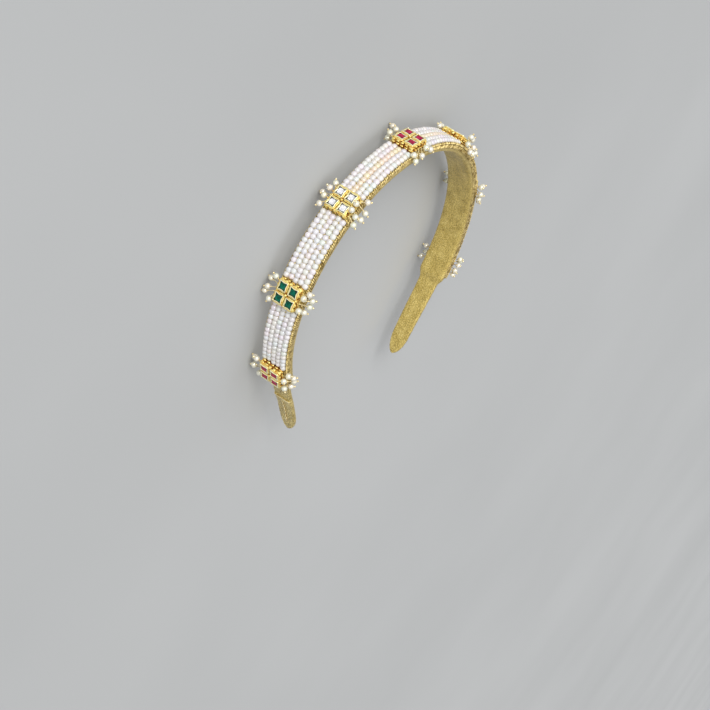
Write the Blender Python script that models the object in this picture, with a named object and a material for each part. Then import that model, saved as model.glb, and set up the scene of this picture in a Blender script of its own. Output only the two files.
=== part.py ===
"""Jeweled headband: a padded cloth-covered arch with five rows of seed pearls,
seven square jewels of four stones each, and pearl drops on pins at both edges.

The band lies on its side, front edge up. Along the arch, distances are counted
from the crown, positive towards +X. Across the band, positive is the front
edge (+Z). Heights are counted outward from the tops of the seed pearls.
All driving dimensions are in millimetres.
"""

import math

import bmesh
import bpy
from mathutils import Matrix, Vector

MM = 0.001
GAP = 0.3
SAME_POINT = 0.001
CLOTH_SMOOTH_ANGLE = 40.0
PEARL_SMOOTH_ANGLE = 50.0

# Arch: radius and length of each arc of one half, from the crown to the tip
CROWN_ARC = (72.0, 134.5)
SIDE_ARC = (167.0, 27.5)
FLARED_ARC = (-242.0, 31.0)
ARCH_ARCS = (CROWN_ARC, SIDE_ARC, FLARED_ARC)
HALF_LENGTH = sum(length for radius, length in ARCH_ARCS)

# Padded band under the pearls
BAND_HALF_WIDTH = 7.05
BAND_TOP = -2.55
BAND_INSIDE = -6.35
BAND_EDGE_CUT = 0.5
LARGEST_CUT_SHARE = 0.4
BAND_SEGMENTS = 37

# Bare cloth tab at each end
TAB_TOP = -3.1
TAB_INSIDE = -5.4
TAB_START = 145.0
TAB_NECK = 6.0
TAB_HALF_WIDTH = 5.2
TAB_END_HALF_WIDTH = 4.6
TIP_LENGTH = 12.0
TIP_HALF_WIDTH = 0.8
TAB_STEPS = 4
TIP_STEPS = 5

# Seed pearl panels: five rows side by side
SEED_DIAMETER = 2.5
SEED_ROWS = 5
SEED_VALLEY = -0.95
SEED_SHOULDER = -0.18
SEED_SHOULDER_REACH = 0.65
PANEL_BASE = BAND_TOP + GAP
PANEL_END_GAP = 0.5
PANEL_STEPS = 6

# Gold edging cord
CORD_RADIUS = 0.5
CORD_ACROSS = BAND_HALF_WIDTH
CORD_HEIGHT = BAND_TOP + GAP + CORD_RADIUS
CORD_STEP = 7.0
CORD_OVERHANG = 0.7

# Jewels: a gold setting of four bezels
JEWEL_COUNT = 7
JEWEL_SPACING = 46.0
JEWEL_HALF = 5.75
WALL_HALF = 5.4
FACE_HEIGHT = 1.5
WALL_TOP = 0.8
WALL_FOOT = -1.6
SETTING_BASE = PANEL_BASE
STUD_RISE = 0.6
RIM_HEIGHT = 2.55
POCKET_FLOOR = 1.2
BEZEL_FOOT = (2.35, 2.65)
BEZEL_RIM = (2.2, 2.45)
BEZEL_OPENING = (1.75, 1.3)

# Stones: four points and hollow sides, a sloped crown and a table
STONE_GIRDLE = (1.55, 1.1)
STONE_TABLE = (1.15, 0.85)
STONE_BASE = POCKET_FLOOR + GAP
STONE_GIRDLE_HEIGHT = 2.1
STONE_TABLE_HEIGHT = 2.45

# Pearl drops: pins that leave a rail on the setting's side wall
PEARL_RADIUS = 1.4
PEARL_SIDES = 10
PIN_RADIUS = 0.28
PIN_SIDES = 5
PIN_TIP = 0.9
RAIL_NEAR = WALL_HALF + GAP
RAIL_FAR = RAIL_NEAR + 0.7
RAIL_LOW = 0.0
RAIL_HIGH = 0.7
RAIL_LENGTH = 9.0
PIN_STUB = 0.25

# Where each pearl hangs from its jewel's centre: along the band away from
# the crown, out across the band, and height
PEARLS_CENTRE_FRONT = (
    (-3.6, 9.3, -0.4),
    (-0.5, 8.7, 1.2),
    (2.9, 9.5, -1.1),
    (7.1, 9.5, -2.4),
    (7.8, 8.2, 0.4),
)
PEARLS_CENTRE_BACK = (
    (-4.5, 10.5, -2.2),
    (-2.4, 11.0, 1.0),
    (-0.4, 7.9, 1.7),
    (2.4, 9.3, -2.3),
    (3.2, 8.4, 1.1),
)
PEARLS_UPPER_FRONT = (
    (-5.5, 9.3, 0.0),
    (-1.5, 10.5, -2.2),
    (-1.4, 7.2, 3.8),
    (1.8, 7.1, 3.4),
    (1.9, 10.6, -2.2),
    (2.8, 9.1, 0.5),
    (5.8, 10.0, -1.0),
)
PEARLS_UPPER_BACK = (
    (-5.2, 7.6, 0.9),
    (-2.0, 8.1, 1.6),
    (0.3, 11.1, -1.6),
    (1.9, 8.4, 1.0),
    (5.9, 7.9, 0.6),
)
PEARLS_SIDE_FRONT = (
    (-5.0, 9.2, -0.4),
    (-3.2, 8.5, 2.1),
    (-2.4, 10.5, -2.3),
    (0.8, 10.1, -2.8),
    (2.9, 8.3, 1.8),
    (3.7, 9.4, -1.4),
)
PEARLS_SIDE_BACK = (
    (-4.6, 8.2, 1.0),
    (-2.0, 10.8, -0.6),
    (1.4, 10.1, 1.2),
    (4.3, 11.2, 0.0),
    (6.2, 7.6, 0.8),
)
# Pearls of a jewel by its steps from the crown: front edge, back edge
PEARLS_BY_STEP = (
    (PEARLS_CENTRE_FRONT, PEARLS_CENTRE_BACK),
    (PEARLS_UPPER_FRONT, PEARLS_UPPER_BACK),
    (PEARLS_SIDE_FRONT, PEARLS_SIDE_BACK),
    (PEARLS_SIDE_FRONT, PEARLS_SIDE_BACK),
)
STONES_BY_STEP = ("ruby_glass", "clear_glass", "emerald_glass", "ruby_glass")

# Colour, roughness and metallic value of each material
LOOKS = {
    "olive_gold_cloth": ((0.50, 0.42, 0.20), 0.55, 0.35),
    "gold_cord": ((0.78, 0.62, 0.25), 0.40, 0.80),
    "seed_pearl": ((0.90, 0.88, 0.88), 0.25, 0.0),
    "drop_pearl": ((0.93, 0.89, 0.80), 0.20, 0.0),
    "bright_gold": ((0.95, 0.72, 0.25), 0.22, 1.0),
    "ruby_glass": ((0.60, 0.02, 0.15), 0.08, 0.0),
    "emerald_glass": ((0.0, 0.28, 0.18), 0.08, 0.0),
    "clear_glass": ((0.92, 0.93, 0.95), 0.05, 0.0),
}


def arch_frame(distance):
    """Frame on the arch: x along it, y outward, z towards the front edge."""
    side = 1.0 if distance >= 0.0 else -1.0
    left = abs(distance)
    turn = 0.0
    point = Vector((0.0, 0.0, 0.0))
    for radius, length in ARCH_ARCS:
        step = min(left, length)
        swing = step / radius
        point.x += radius * (math.sin(turn + swing) - math.sin(turn))
        point.y += radius * (math.cos(turn + swing) - math.cos(turn))
        turn += swing
        left -= step
    point.x *= side
    return Matrix.Translation(point) @ Matrix.Rotation(-side * turn, 4, "Z")


def material(look):
    """The material of this name, made once."""
    found = bpy.data.materials.get(look)
    if found:
        return found
    colour, roughness, metallic = LOOKS[look]
    made = bpy.data.materials.new(look)
    made.use_nodes = True
    shader = made.node_tree.nodes["Principled BSDF"]
    shader.inputs["Base Color"].default_value = (*colour, 1.0)
    shader.inputs["Roughness"].default_value = roughness
    shader.inputs["Metallic"].default_value = metallic
    return made


def add_object(name, data, look, root):
    """Link an object with its material and hang it on the root."""
    data.materials.append(material(look))
    piece = bpy.data.objects.new(name, data)
    bpy.context.scene.collection.objects.link(piece)
    piece.parent = root


def add_body(name, bm, look, root, smooth_angle=None):
    """Close a bmesh into an object, from millimetres to metres."""
    bmesh.ops.remove_doubles(bm, verts=bm.verts, dist=SAME_POINT)
    bmesh.ops.recalc_face_normals(bm, faces=bm.faces)
    if bm.calc_volume(signed=True) < 0.0:
        bmesh.ops.reverse_faces(bm, faces=bm.faces)
    bmesh.ops.triangulate(bm, faces=[face for face in bm.faces if len(face.verts) > 4])
    bmesh.ops.scale(bm, vec=(MM, MM, MM), verts=bm.verts)
    mesh = bpy.data.meshes.new(name)
    bm.to_mesh(mesh)
    bm.free()
    if smooth_angle is not None:
        mesh.shade_smooth()
        mesh.set_sharp_from_angle(angle=math.radians(smooth_angle))
    add_object(name, mesh, look, root)


def ring(bm, points, frame=Matrix.Identity(4)):
    """Vertices at the points, which are given in the frame."""
    return [bm.verts.new(frame @ Vector(point)) for point in points]


def bridge(bm, first, second):
    """Faces between two rings; the second may have twice as many vertices."""
    count = len(first)
    ratio = len(second) // count
    for index in range(count):
        following = (index + 1) % count
        near = ratio * index
        last = near + ratio - 1
        if ratio == 2:
            bm.faces.new((first[index], second[near], second[last]))
        bm.faces.new((first[index], second[last], second[ratio * following], first[following]))


def skin(bm, rings):
    """A closed body through a row of rings."""
    for first, second in zip(rings, rings[1:]):
        bridge(bm, first, second)
    bm.faces.new(rings[0])
    bm.faces.new(rings[-1])


def band_size(distance):
    """Half width, top height and inside height of the band this far from the crown."""
    beyond = abs(distance) - TAB_START
    tip_start = HALF_LENGTH - TAB_START - TIP_LENGTH
    if beyond <= TAB_NECK:
        share = max(0.0, beyond / TAB_NECK)
        ease = share * share * (3.0 - 2.0 * share)
        half = BAND_HALF_WIDTH + ease * (TAB_HALF_WIDTH - BAND_HALF_WIDTH)
        top = BAND_TOP + ease * (TAB_TOP - BAND_TOP)
        return half, top, BAND_INSIDE + ease * (TAB_INSIDE - BAND_INSIDE)
    if beyond <= tip_start:
        share = (beyond - TAB_NECK) / (tip_start - TAB_NECK)
        half = TAB_HALF_WIDTH + share * (TAB_END_HALF_WIDTH - TAB_HALF_WIDTH)
        return half, TAB_TOP, TAB_INSIDE
    share = (beyond - tip_start) / TIP_LENGTH
    round_end = math.sqrt(max(0.0, 1.0 - share * share))
    return max(TIP_HALF_WIDTH, TAB_END_HALF_WIDTH * round_end), TAB_TOP, TAB_INSIDE


def band_section(distance):
    """Cross-section of the band with its four long edges cut off."""
    half, top, inside = band_size(distance)
    cut = min(BAND_EDGE_CUT, LARGEST_CUT_SHARE * half)
    return (
        (0.0, inside, cut - half),
        (0.0, inside, half - cut),
        (0.0, inside + cut, half),
        (0.0, top - cut, half),
        (0.0, top, half - cut),
        (0.0, top, cut - half),
        (0.0, top - cut, -half),
        (0.0, inside + cut, -half),
    )


def band_stations():
    """Distances of the band's sections, one flat face centred on the crown."""
    step = 2.0 * TAB_START / BAND_SEGMENTS
    middle = [step * index - TAB_START for index in range(BAND_SEGMENTS + 1)]
    neck = [TAB_START + 0.5 * TAB_NECK]
    tab_length = HALF_LENGTH - TAB_START - TAB_NECK - TIP_LENGTH
    tab = [TAB_START + TAB_NECK + tab_length * index / TAB_STEPS for index in range(TAB_STEPS)]
    quarter = 0.5 * math.pi / TIP_STEPS
    tip = [HALF_LENGTH - TIP_LENGTH * (1.0 - math.sin(quarter * index)) for index in range(TIP_STEPS + 1)]
    end = neck + tab + tip
    return [-distance for distance in reversed(end)] + middle + end


def build_band(root):
    """The padded cloth band, one solid from tip to tip."""
    bm = bmesh.new()
    skin(bm, [ring(bm, band_section(place), arch_frame(place)) for place in band_stations()])
    add_body("band", bm, "olive_gold_cloth", root, CLOTH_SMOOTH_ANGLE)


def build_panel(index, start, end, root):
    """One bed of seed pearls between two jewels, ridged along its rows."""
    half = 0.5 * SEED_ROWS * SEED_DIAMETER
    section = [(0.0, PANEL_BASE, half), (0.0, PANEL_BASE, -half)]
    for row in range(SEED_ROWS):
        middle = (row + 0.5) * SEED_DIAMETER - half
        section.append((0.0, SEED_VALLEY, middle - 0.5 * SEED_DIAMETER))
        section.append((0.0, SEED_SHOULDER, middle - SEED_SHOULDER_REACH))
        section.append((0.0, SEED_SHOULDER, middle + SEED_SHOULDER_REACH))
    section.append((0.0, SEED_VALLEY, half))
    places = [start + (end - start) * step / PANEL_STEPS for step in range(PANEL_STEPS + 1)]
    bm = bmesh.new()
    skin(bm, [ring(bm, section, arch_frame(place)) for place in places])
    add_body(f"seed_pearls_{index}", bm, "seed_pearl", root)


def build_cord(name, across, root):
    """One gold edging cord along the whole beaded length."""
    reach = 0.5 * (JEWEL_COUNT - 1) * JEWEL_SPACING + JEWEL_HALF + CORD_OVERHANG
    steps = round(2.0 * reach / CORD_STEP)
    curve = bpy.data.curves.new(name, "CURVE")
    curve.dimensions = "3D"
    curve.bevel_depth = CORD_RADIUS * MM
    curve.bevel_resolution = 1
    curve.use_fill_caps = True
    spline = curve.splines.new("POLY")
    spline.points.add(steps)
    for index, point in enumerate(spline.points):
        frame = arch_frame(reach * (2.0 * index / steps - 1.0))
        place = frame @ Vector((0.0, CORD_HEIGHT, across))
        point.co = (*(place * MM), 1.0)
    add_object(name, curve, "gold_cord", root)


def four_point_ring(size, height, middle_along=0.0, middle_across=0.0):
    """Eight points of a square whose corners and side middles are set apart."""
    corner, middle = size
    outline = (
        (corner, corner),
        (0.0, middle),
        (-corner, corner),
        (-middle, 0.0),
        (-corner, -corner),
        (0.0, -middle),
        (corner, -corner),
        (middle, 0.0),
    )
    return [(middle_along + x, height, middle_across + z) for x, z in outline]


def wall_ring(half, height):
    """Sixteen points round the setting, four to a side."""
    quarter = 0.5 * half
    side = [(step * quarter - half, half) for step in range(4)]
    points = []
    for turn in range(4):
        points += side
        side = [(z, -x) for x, z in side]
    return [(x, height, z) for x, z in points]


def stone_places():
    """Centres of the four stones of a jewel, along and across."""
    step = 0.5 * JEWEL_HALF
    return [(along, across) for along in (-step, step) for across in (-step, step)]


def build_setting(index, frame, root):
    """The gold setting: four bezels on a square box with a waisted wall."""
    bm = bmesh.new()
    cell = 0.5 * JEWEL_HALF
    for along, across in stone_places():
        border = ring(bm, four_point_ring((cell, cell), FACE_HEIGHT, along, across), frame)
        foot = ring(bm, four_point_ring(BEZEL_FOOT, FACE_HEIGHT, along, across), frame)
        rim = ring(bm, four_point_ring(BEZEL_RIM, RIM_HEIGHT, along, across), frame)
        mouth = ring(bm, four_point_ring(BEZEL_OPENING, RIM_HEIGHT, along, across), frame)
        floor = ring(bm, four_point_ring(BEZEL_OPENING, POCKET_FLOOR, along, across), frame)
        for first, second in zip((border, foot, rim, mouth), (foot, rim, mouth, floor)):
            bridge(bm, first, second)
        bm.faces.new(floor)
    walls = (
        (JEWEL_HALF, FACE_HEIGHT),
        (WALL_HALF, WALL_TOP),
        (WALL_HALF, WALL_FOOT),
        (JEWEL_HALF, SETTING_BASE),
    )
    rings = [ring(bm, wall_ring(half, height), frame) for half, height in walls]
    for first, second in zip(rings, rings[1:]):
        bridge(bm, first, second)
    bm.faces.new(rings[-1])
    bmesh.ops.remove_doubles(bm, verts=bm.verts, dist=SAME_POINT)
    centre = frame @ Vector((0.0, FACE_HEIGHT, 0.0))
    stud = min(bm.verts, key=lambda vertex: (vertex.co - centre).length)
    stud.co = frame @ Vector((0.0, FACE_HEIGHT + STUD_RISE, 0.0))
    add_body(f"setting_{index}", bm, "bright_gold", root)


def build_stone(name, frame, look, root):
    """One cut stone with eight crown facets round its table."""
    bm = bmesh.new()
    levels = (
        (STONE_GIRDLE, STONE_BASE),
        (STONE_GIRDLE, STONE_GIRDLE_HEIGHT),
        (STONE_TABLE, STONE_TABLE_HEIGHT),
    )
    skin(bm, [ring(bm, four_point_ring(size, height), frame) for size, height in levels])
    add_body(name, bm, look, root)


def circle(sides, radius, reach):
    """Points of a circle round the z axis, this far along it."""
    turns = [2.0 * math.pi * (step + 0.5) / sides for step in range(sides)]
    return [(radius * math.cos(turn), radius * math.sin(turn), reach) for turn in turns]


def spin_of(loop):
    """The direction about which a loop of vertices turns."""
    centre = sum((vertex.co for vertex in loop), Vector()) / len(loop)
    return (loop[0].co - centre).cross(loop[1].co - centre)


def match_loop(loop, guide):
    """The loop turned the guide's way and started at the guide's first vertex."""
    if spin_of(loop).dot(spin_of(guide)) < 0.0:
        loop = loop[::-1]
    start = min(range(len(loop)), key=lambda place: (loop[place].co - guide[0].co).length)
    return loop[start:] + loop[:start]


def fan_bridge(bm, first, second):
    """Triangles between two loops of unlike counts, shortest edge first."""
    near = 0
    far = 0
    while near < len(first) or far < len(second):
        here = first[near % len(first)]
        there = second[far % len(second)]
        next_here = first[(near + 1) % len(first)]
        next_there = second[(far + 1) % len(second)]
        grow_first = (next_here.co - there.co).length < (next_there.co - here.co).length
        if far == len(second) or (near < len(first) and grow_first):
            bm.faces.new((here, next_here, there))
            near += 1
        else:
            bm.faces.new((here, next_there, there))
            far += 1


def add_drop(bm, cell, start, centre, frame):
    """One pin and its pearl, joined to the four corners of its rail cell."""
    outward = Vector((0.0, 0.0, math.copysign(1.0, start.z)))
    elbow = start + PIN_STUB * outward
    pin = centre - elbow
    reach = pin.length
    stub_turn = outward.to_track_quat("Z", "Y").to_matrix().to_4x4()
    pin_turn = pin.to_track_quat("Z", "Y").to_matrix().to_4x4()
    stub_pose = frame @ Matrix.Translation(start) @ stub_turn
    pose = frame @ Matrix.Translation(elbow) @ pin_turn
    foot = ring(bm, circle(PIN_SIDES, PIN_RADIUS, PIN_STUB), stub_pose)
    neck = ring(bm, circle(PIN_SIDES, PIN_RADIUS, reach - PEARL_RADIUS), pose)
    latitude = math.pi / 4.0
    small = PEARL_RADIUS * math.cos(latitude)
    rise = PEARL_RADIUS * math.sin(latitude)
    belts = [
        ring(bm, circle(PEARL_SIDES, small, reach - rise), pose),
        ring(bm, circle(PEARL_SIDES, PEARL_RADIUS, reach), pose),
        ring(bm, circle(PEARL_SIDES, small, reach + rise), pose),
    ]
    collar = ring(bm, circle(PIN_SIDES, PIN_RADIUS, reach + PEARL_RADIUS), pose)
    tip = bm.verts.new(pose @ Vector((0.0, 0.0, reach + PEARL_RADIUS + PIN_TIP)))
    foot = match_loop(foot, neck)
    fan_bridge(bm, match_loop(list(cell), foot), foot)
    for first, second in zip((foot, neck, *belts), (neck, *belts)):
        bridge(bm, first, second)
    bridge(bm, collar, belts[-1])
    for index, vertex in enumerate(collar):
        bm.faces.new((vertex, collar[(index + 1) % PIN_SIDES], tip))


def build_drops(name, frame, pearls, edge, away, root):
    """The pearl drops of one jewel edge, on one rail."""
    bm = bmesh.new()
    cell_length = RAIL_LENGTH / len(pearls)
    corners = ((RAIL_LOW, RAIL_NEAR), (RAIL_HIGH, RAIL_NEAR), (RAIL_HIGH, RAIL_FAR), (RAIL_LOW, RAIL_FAR))
    posts = []
    for step in range(len(pearls) + 1):
        along = away * (step * cell_length - 0.5 * RAIL_LENGTH)
        posts.append(ring(bm, [(along, height, edge * across) for height, across in corners], frame))
    bm.faces.new(posts[0])
    bm.faces.new(posts[-1])
    middle = 0.5 * (RAIL_LOW + RAIL_HIGH)
    for step, (first, second) in enumerate(zip(posts, posts[1:])):
        bm.faces.new((first[0], first[1], second[1], second[0]))
        bm.faces.new((first[1], first[2], second[2], second[1]))
        bm.faces.new((first[3], first[0], second[0], second[3]))
        along, across, height = pearls[step]
        start_along = (step + 0.5) * cell_length - 0.5 * RAIL_LENGTH
        start = Vector((away * start_along, middle, edge * RAIL_FAR))
        centre = Vector((away * along, height, edge * across))
        add_drop(bm, (first[2], second[2], second[3], first[3]), start, centre, frame)
    add_body(name, bm, "drop_pearl", root, PEARL_SMOOTH_ANGLE)


def build_jewel(index, step, root):
    """A jewel this many spacings from the crown: setting, stones and drops."""
    frame = arch_frame(step * JEWEL_SPACING)
    build_setting(index, frame, root)
    stone_look = STONES_BY_STEP[abs(step)]
    for number, (along, across) in enumerate(stone_places(), start=1):
        stone_frame = frame @ Matrix.Translation((along, 0.0, across))
        build_stone(f"stone_{index}_{number}", stone_frame, stone_look, root)
    away = 1.0 if step > 0 else -1.0
    front, back = PEARLS_BY_STEP[abs(step)]
    build_drops(f"front_drops_{index}", frame, front, 1.0, away, root)
    build_drops(f"back_drops_{index}", frame, back, -1.0, away, root)


def rest_on_floor(root):
    """Move the root so that the origin is under the middle of the whole."""
    bpy.context.view_layer.update()
    corners = [
        piece.matrix_world @ Vector(corner)
        for piece in root.children
        for corner in piece.bound_box
    ]
    low = Vector([min(corner[axis] for corner in corners) for axis in range(3)])
    high = Vector([max(corner[axis] for corner in corners) for axis in range(3)])
    root.location = (-0.5 * (low.x + high.x), -0.5 * (low.y + high.y), -low.z)
    bpy.context.view_layer.update()


def main():
    for old in list(bpy.data.objects):
        bpy.data.objects.remove(old, do_unlink=True)
    root = bpy.data.objects.new("headband", None)
    bpy.context.scene.collection.objects.link(root)
    build_band(root)
    build_cord("front_cord", CORD_ACROSS, root)
    build_cord("back_cord", -CORD_ACROSS, root)
    middle = (JEWEL_COUNT - 1) // 2
    end_gap = JEWEL_HALF + PANEL_END_GAP
    for index in range(1, JEWEL_COUNT):
        start = (index - 1 - middle) * JEWEL_SPACING
        build_panel(index, start + end_gap, start + JEWEL_SPACING - end_gap, root)
    for index in range(1, JEWEL_COUNT + 1):
        build_jewel(index, index - 1 - middle, root)
    rest_on_floor(root)


main()
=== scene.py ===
"""Looks of the jeweled headband: cloth, gold braid, seed pearls, gold settings
with cut stones, and pearl drops on pins. It lies on its side on a pale floor.

Sizes are in millimetres, except where a comment says metres. Along the arch,
distances are counted from the crown, positive towards +X. Across the band,
positive is the front edge (+Z). Heights are counted outward from the tops of
the seed pearls.
"""

import math
import random

import bpy
from mathutils import Matrix, Vector, noise


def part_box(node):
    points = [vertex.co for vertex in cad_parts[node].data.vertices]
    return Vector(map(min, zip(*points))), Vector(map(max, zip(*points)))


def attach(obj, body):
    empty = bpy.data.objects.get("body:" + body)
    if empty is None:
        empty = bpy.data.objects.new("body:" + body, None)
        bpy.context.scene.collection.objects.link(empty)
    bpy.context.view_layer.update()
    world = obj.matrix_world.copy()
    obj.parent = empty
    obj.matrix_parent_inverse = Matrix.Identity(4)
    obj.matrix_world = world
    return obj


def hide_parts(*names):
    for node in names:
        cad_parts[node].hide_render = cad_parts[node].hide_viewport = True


MM = 0.001
WHITE = (1.0, 1.0, 1.0)
HERE = Matrix.Identity(4)
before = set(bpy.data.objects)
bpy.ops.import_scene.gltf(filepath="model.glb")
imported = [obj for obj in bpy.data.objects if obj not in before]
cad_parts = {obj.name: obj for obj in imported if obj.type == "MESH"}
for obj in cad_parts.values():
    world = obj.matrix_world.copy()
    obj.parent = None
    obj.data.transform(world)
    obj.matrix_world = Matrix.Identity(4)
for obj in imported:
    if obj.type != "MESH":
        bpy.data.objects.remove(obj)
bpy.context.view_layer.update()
chance = random.Random(7)

# The flat ends of a ball or a pearl are at least this share of its radius
BALL_END_SHARE = 0.12

# Arch: radius and length of each arc of one half, from the crown to the tip
CROWN_ARC = (72.0, 134.5)
SIDE_ARC = (167.0, 27.5)
FLARED_ARC = (-242.0, 31.0)
ARCH_ARCS = (CROWN_ARC, SIDE_ARC, FLARED_ARC)
HALF_LENGTH = sum(length for radius, length in ARCH_ARCS)

# Jewels and the reach of the gold trim past the last ones
JEWEL_COUNT = 7
CROWN_JEWEL = (JEWEL_COUNT + 1) // 2
JEWEL_SPACING = 46.0
JEWEL_HALF = 5.75
TRIM_OVERHANG = 1.0
TRIM_REACH = 0.5 * (JEWEL_COUNT - 1) * JEWEL_SPACING + JEWEL_HALF + TRIM_OVERHANG

# Band
BAND_HALF_WIDTH = 7.05
BAND_TOP = -2.55
BAND_INSIDE = -6.35
TAB_TOP = -3.1
TAB_INSIDE = -5.4
TAB_START = 145.0
TAB_NECK = 6.0
TAB_HALF_WIDTH = 5.2
TAB_END_HALF_WIDTH = 4.6
TIP_LENGTH = 12.0
TIP_HALF_WIDTH = 0.8
BAND_SQUARENESS = 5.0
BAND_RINGS = 520
BAND_SIDES = 76
BAND_OUTLINE_STEPS = 720
# How much the rings of the band crowd towards its tips
RING_CROWDING = 0.15

# Raised bed between the pearls, which ends where the trim does
BED_RISE = 1.3
BED_HALF_WIDTH = 6.2
BED_SLOPE = 0.6
BED_END_LENGTH = 2.0

# Puckers, with their scale along and round the band; they are low near the crown
PUCKER_DEPTH = 0.13
PUCKER_SCALE = (0.5, 0.35)
PUCKER_LOW_SHARE = 0.35
FINE_PUCKER_DEPTH = 0.065
FINE_PUCKER_SCALE = 3.0
SMOOTH_REACH = 48.0
CRUMPLE_BLEND = 6.0
# How strongly the threads sparkle: at the least, on a tab and on the inside
LEAST_SPARKLE = 0.2
TAB_SPARKLE = 0.7
INSIDE_SPARKLE = 0.4

# Fold across each tab, with its thread, and the stitches down the tab
HEM_PLACE = 163.6
HEM_LENGTH = 0.7
HEM_RAMP = 9.0
HEM_RISE = 0.6
HEM_THREAD = 0.3
HEM_STEPS = 16
STITCH_START = 168.0
STITCH_END = 186.0
STITCH_PITCH = 3.1
STITCH_LENGTH = 1.9
STITCH_RADIUS = 0.3
STITCH_ARCH = 2.6
STITCH_STEPS = 6
THREAD_SIDES = 6

# Seed pearls
SEED_RADIUS = 1.46
SEED_LENGTH_SHARE = 0.92
SEED_FULLNESS = 2.6
SEED_HOLE = 0.3
SEED_DETAIL = (14, 9)
SEED_ROWS = 5
SEED_ROW_PITCH = 2.58
SEED_ROW_SHIFT = -0.1
SEED_PITCH = 2.42
SEED_STAGGER = 0.12
SEED_HEIGHT = -1.42
SEED_START = 5.9
GOLD_ROW = 2
GOLD_ROW_PANELS = (3, 4)
# How unevenly they are strung: along, up, across, their lean and their sizes
SEED_SHIFT_ALONG = 0.1
SEED_SHIFT_UP = 0.06
SEED_SHIFT_ACROSS = 0.09
SEED_LEAN = 0.25
SEED_SIZES = (0.95, 1.02)
# Their body colour with its change from bead to bead, and both ends of the gold rows' colours
SEED_TINT = (0.79, 0.775, 0.75)
SEED_TINT_CHANGE = 0.035
YELLOW_SEED_TINT = (0.85, 0.77, 0.54)
PEACH_SEED_TINT = (0.85, 0.70, 0.60)

# Gold coil along each edge and braid on each side; across and height of the coils
COIL_FRONT = (7.0, -1.75)
COIL_BACK = (-6.85, -2.35)
COIL_RADIUS = 0.36
COIL_WIRE = 0.3
COIL_TURN = 1.1
COIL_CORE = 0.26
COIL_CORE_TURN = 10.0
COIL_CORE_SIDES = 8
BRAID_HEIGHT = -3.3
BRAID_REACH = 0.85
BRAID_DEPTH = 0.16
BRAID_WIRE = 0.28
BRAID_TURN = 2.7
BRAID_STRANDS = 3
TRIM_WIRE_SIDES = 5
TURN_STEPS = 9

# Foot and wall of a setting: half width and height, from the bottom up
BASE_PROFILE = ((5.6, -2.25), (5.75, -2.1), (5.75, -1.95), (5.55, -1.85))
WALL_PROFILE = ((5.2, -1.9), (5.15, -0.3), (4.9, 1.0), (4.4, 1.1))
LOBE_NOTCH = 0.3
LOBE_CORNER = 0.42
LOBE_STEPS = 16

# Half width and height up the side of a cup, from its foot
CUP_PROFILE = ((2.25, -0.2), (2.25, 1.2), (2.6, 1.6), (2.78, 1.88), (2.76, 2.02), (2.68, 2.08))
CUP_SQUARENESS = 4.8
CUP_PINCH = 0.03
OUTLINE_POINTS = 48

# Mouth of a cup, and distance out from it and height round the ring that edges it
STAR_TIP = 2.66
STAR_WAIST = 1.5
RIM_PROFILE = (
    (0.5, 2.0),
    (0.5, 2.26),
    (0.42, 2.46),
    (0.3, 2.58),
    (0.16, 2.58),
    (0.05, 2.5),
    (0.0, 2.34),
    (-0.02, 2.0),
)

# Cut stones
STONE_FIT = -0.04
STONE_FOOT = 1.5
STONE_GIRDLE = 2.1
STONE_CORNERS = 8
TABLE_TIP = 1.6
TABLE_WAIST = 1.36
TABLE_HEIGHT = 2.42

# Gold blocks under the cups, with the reach and height of their rows
KNOB_COUNT = 5
KNOB_PITCH = 2.3
KNOB_RADIUS = 0.6
KNOB_FULLNESS = 3.2
KNOB_LENGTH_SHARE = 1.3
KNOB_DETAIL = (10, 7)
KNOB_ROWS = ((5.2, 1.12), (5.22, -0.42))

# Gold balls: in the middle, on the seams between the cups and at the corners
STUD_HEIGHT = 2.2
STUD_RADIUS = 0.6
STUD_DETAIL = (14, 8)
BALL_INSET = 0.62
BALL_REACH = JEWEL_HALF - BALL_INSET
BALL_DETAIL = (12, 7)
SEAM_END_HEIGHT = 1.5
SEAM_END_RADIUS = 0.58
SEAM_HEIGHT = 1.3
SEAM_RADIUS = 0.36
CORNER_HEIGHT = 0.55
CORNER_RADIUS = 0.6
SMALL_BALL_DETAIL = (10, 6)

# Eyelets that the pins hang from; height and reach across of their centres
PIN_START = (0.35, 6.0)
RAIL_LENGTH = 9.0
EYELET_RADIUS = 0.55
EYELET_WIRE = 0.2
EYELET_STEPS = 12
EYELET_SIDES = 6

# Pearl drops on pins that bend at an elbow
PEARL_RADIUS = 1.4
PEARL_HOLE = 0.22
PEARL_DETAIL = (20, 13)
PEARL_STRETCH = (0.96, 1.02)
PEARL_TINT = (0.91, 0.88, 0.73)
PEARL_TINT_CHANGE = (-0.03, 0.02)
PIN_RADIUS = 0.17
PIN_SIDES = 8
PIN_ELBOW = 6.65
PIN_MIDDLE_SHARE = 0.6
PIN_BEND_REACHES = (0.12, 0.3)
TIP_BALL_RADIUS = 0.48
TIP_BALL_DETAIL = (12, 8)
TIP_REACH = 0.3
CAP_BALL_RADIUS = 0.36
CAP_LEAST_REACH = 0.2

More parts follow.
